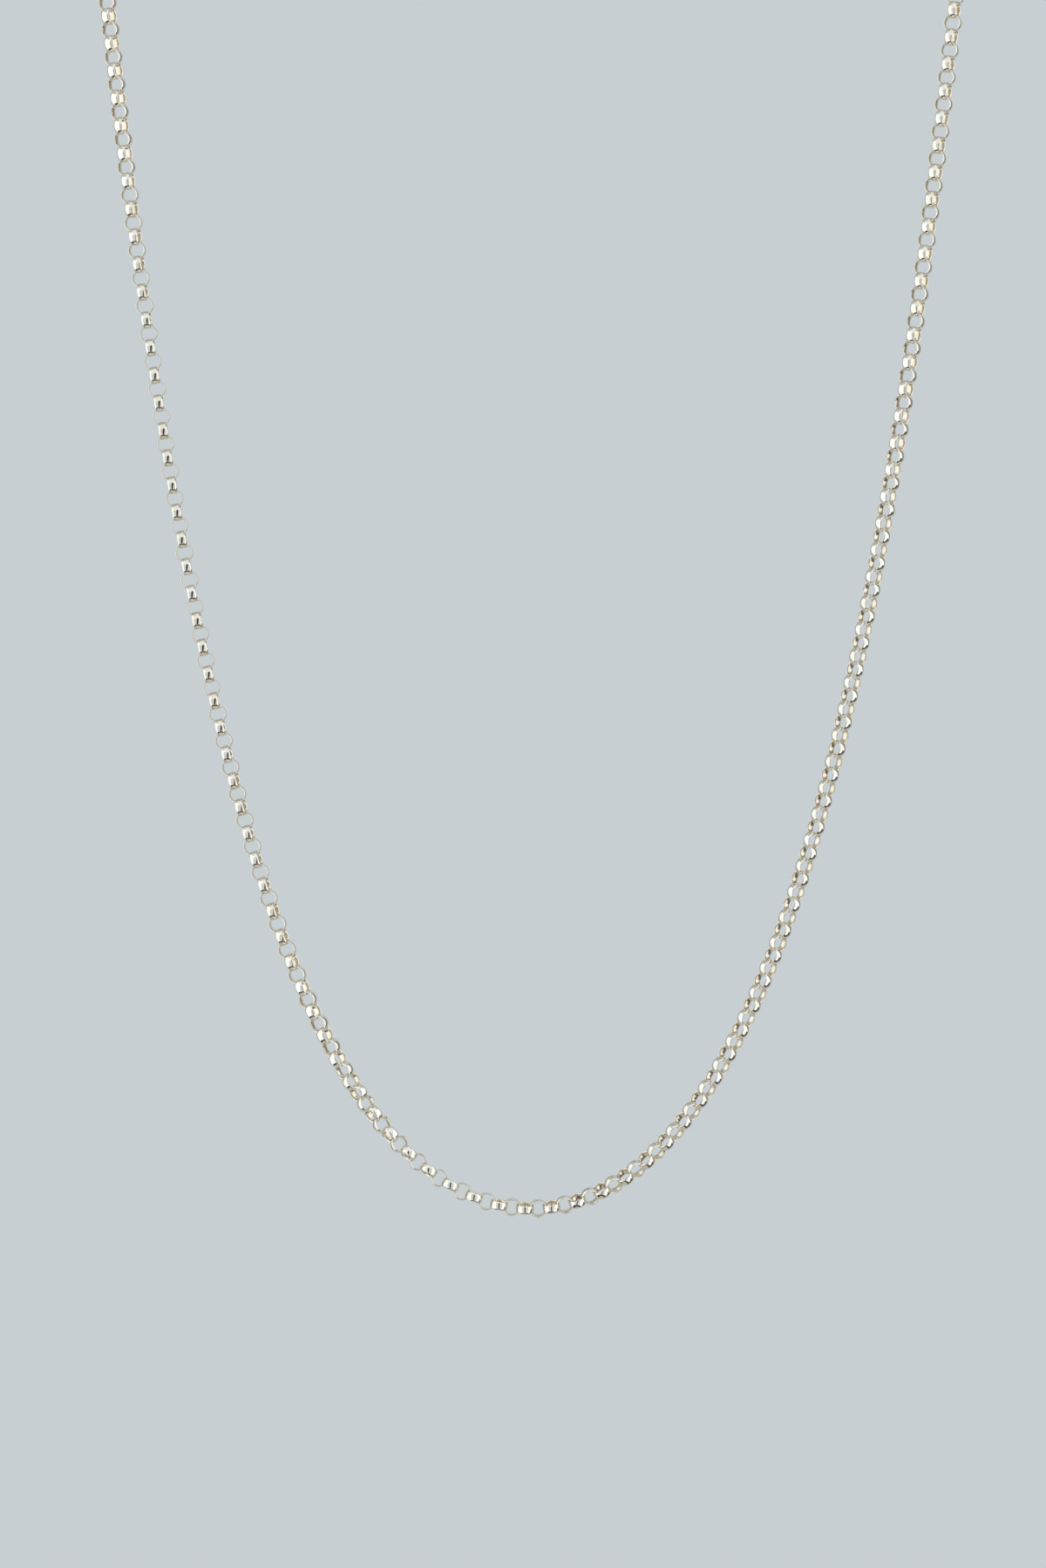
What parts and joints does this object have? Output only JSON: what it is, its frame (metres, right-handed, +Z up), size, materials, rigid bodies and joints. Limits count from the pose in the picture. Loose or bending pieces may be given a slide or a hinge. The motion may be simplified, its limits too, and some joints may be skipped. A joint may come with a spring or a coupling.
{
  "type": "rolo chain necklace",
  "caption": "Fine rolo chain necklace hanging in a deep open loop, of round interlocked band links closed by a plain spring ring clasp at the nape.",
  "frame": {"origin": "middle of the loop's back, where the necklace rests on the nape", "axes": "+Z up, against the way the loop hangs; +Y from the hanging front towards the nape; +X to the viewer's right"},
  "size_m": [0.1029, 0.0601, 0.1591],
  "materials": {
    "chain_gold": "high polish, very pale yellow gold",
    "clasp_gold": "high polish, very pale yellow gold"
  },
  "bodies": {
    "root": {"chain_left": "chain_gold", "chain_right": "chain_gold", "clasp": "clasp_gold", "clasp_ring": "clasp_gold", "end_ring": "clasp_gold"}
  },
  "joints": []
}
